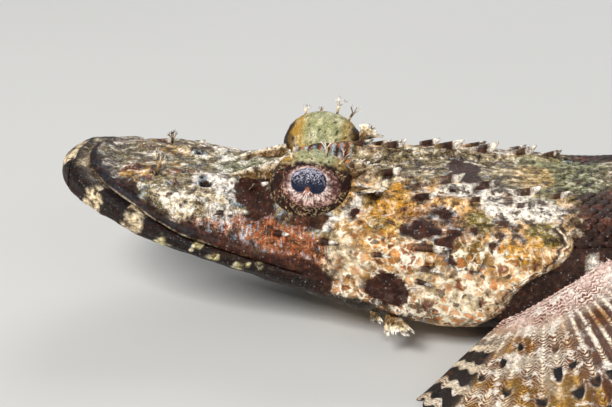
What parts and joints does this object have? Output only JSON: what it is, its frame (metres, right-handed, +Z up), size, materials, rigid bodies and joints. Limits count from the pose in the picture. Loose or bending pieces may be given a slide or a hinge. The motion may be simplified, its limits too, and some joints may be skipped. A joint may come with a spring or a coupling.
{
  "type": "crocodilefish model",
  "caption": "Life-size crocodilefish at rest on its belly and spread paired fins, with a long flat snout, spined head ridges and raised eyes.",
  "frame": {"origin": "on the floor under the middle of the belly, on the flat that the belly rests on", "axes": "+Z up, the head points to -X and the tail to +X, the left side faces -Y"},
  "size_m": [0.5385, 0.2292, 0.0948],
  "materials": {
    "skin_head": "moist scaled skin, mottled ochre, cream and dark brown",
    "skin_body": "moist scaled skin, mottled olive, cream and dark brown",
    "fin": "thin rayed fin skin, cream and tan with dark spots",
    "eye": "glossy, dark brown with pale scribbles and a blue-black pupil"
  },
  "bodies": {
    "root": {"head": "skin_head", "lower_jaw": "skin_head", "gill_cover_left": "skin_head", "gill_cover_right": "skin_head", "eye_left": "eye", "eye_right": "eye", "trunk": "skin_body", "tail": "skin_body", "dorsal_fin_1": "fin", "dorsal_fin_2": "fin", "anal_fin": "fin", "caudal_fin": "fin", "pectoral_fin_left": "fin", "pectoral_fin_right": "fin", "pelvic_fin_left": "fin", "pelvic_fin_right": "fin"}
  },
  "joints": []
}
